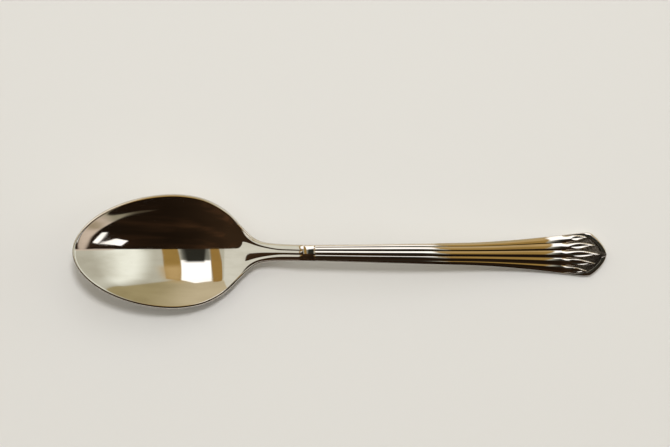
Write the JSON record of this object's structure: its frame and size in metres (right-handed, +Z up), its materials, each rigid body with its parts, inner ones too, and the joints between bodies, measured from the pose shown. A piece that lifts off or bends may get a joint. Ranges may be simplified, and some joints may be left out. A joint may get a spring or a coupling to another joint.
{
  "type": "teaspoon",
  "caption": "Polished steel teaspoon with an oval dished bowl, a ridged neck, a tie band and a reeded, arched handle that spreads into pointed leaves.",
  "frame": {"origin": "centre of the spoon's length and width, on the table that it rests on", "axes": "+X along the handle towards the terminal, +Z up out of the open bowl, +Y across"},
  "size_m": [0.136, 0.0292, 0.0178],
  "materials": {
    "polished_steel": "mirror polished stainless steel with fine wipe marks",
    "relief_steel": "struck and polished stainless steel with darker stippled recesses"
  },
  "bodies": {
    "root": {"bowl": "polished_steel", "neck": "polished_steel", "tie_band": "polished_steel", "stem": "polished_steel", "terminal": "relief_steel"}
  },
  "joints": []
}
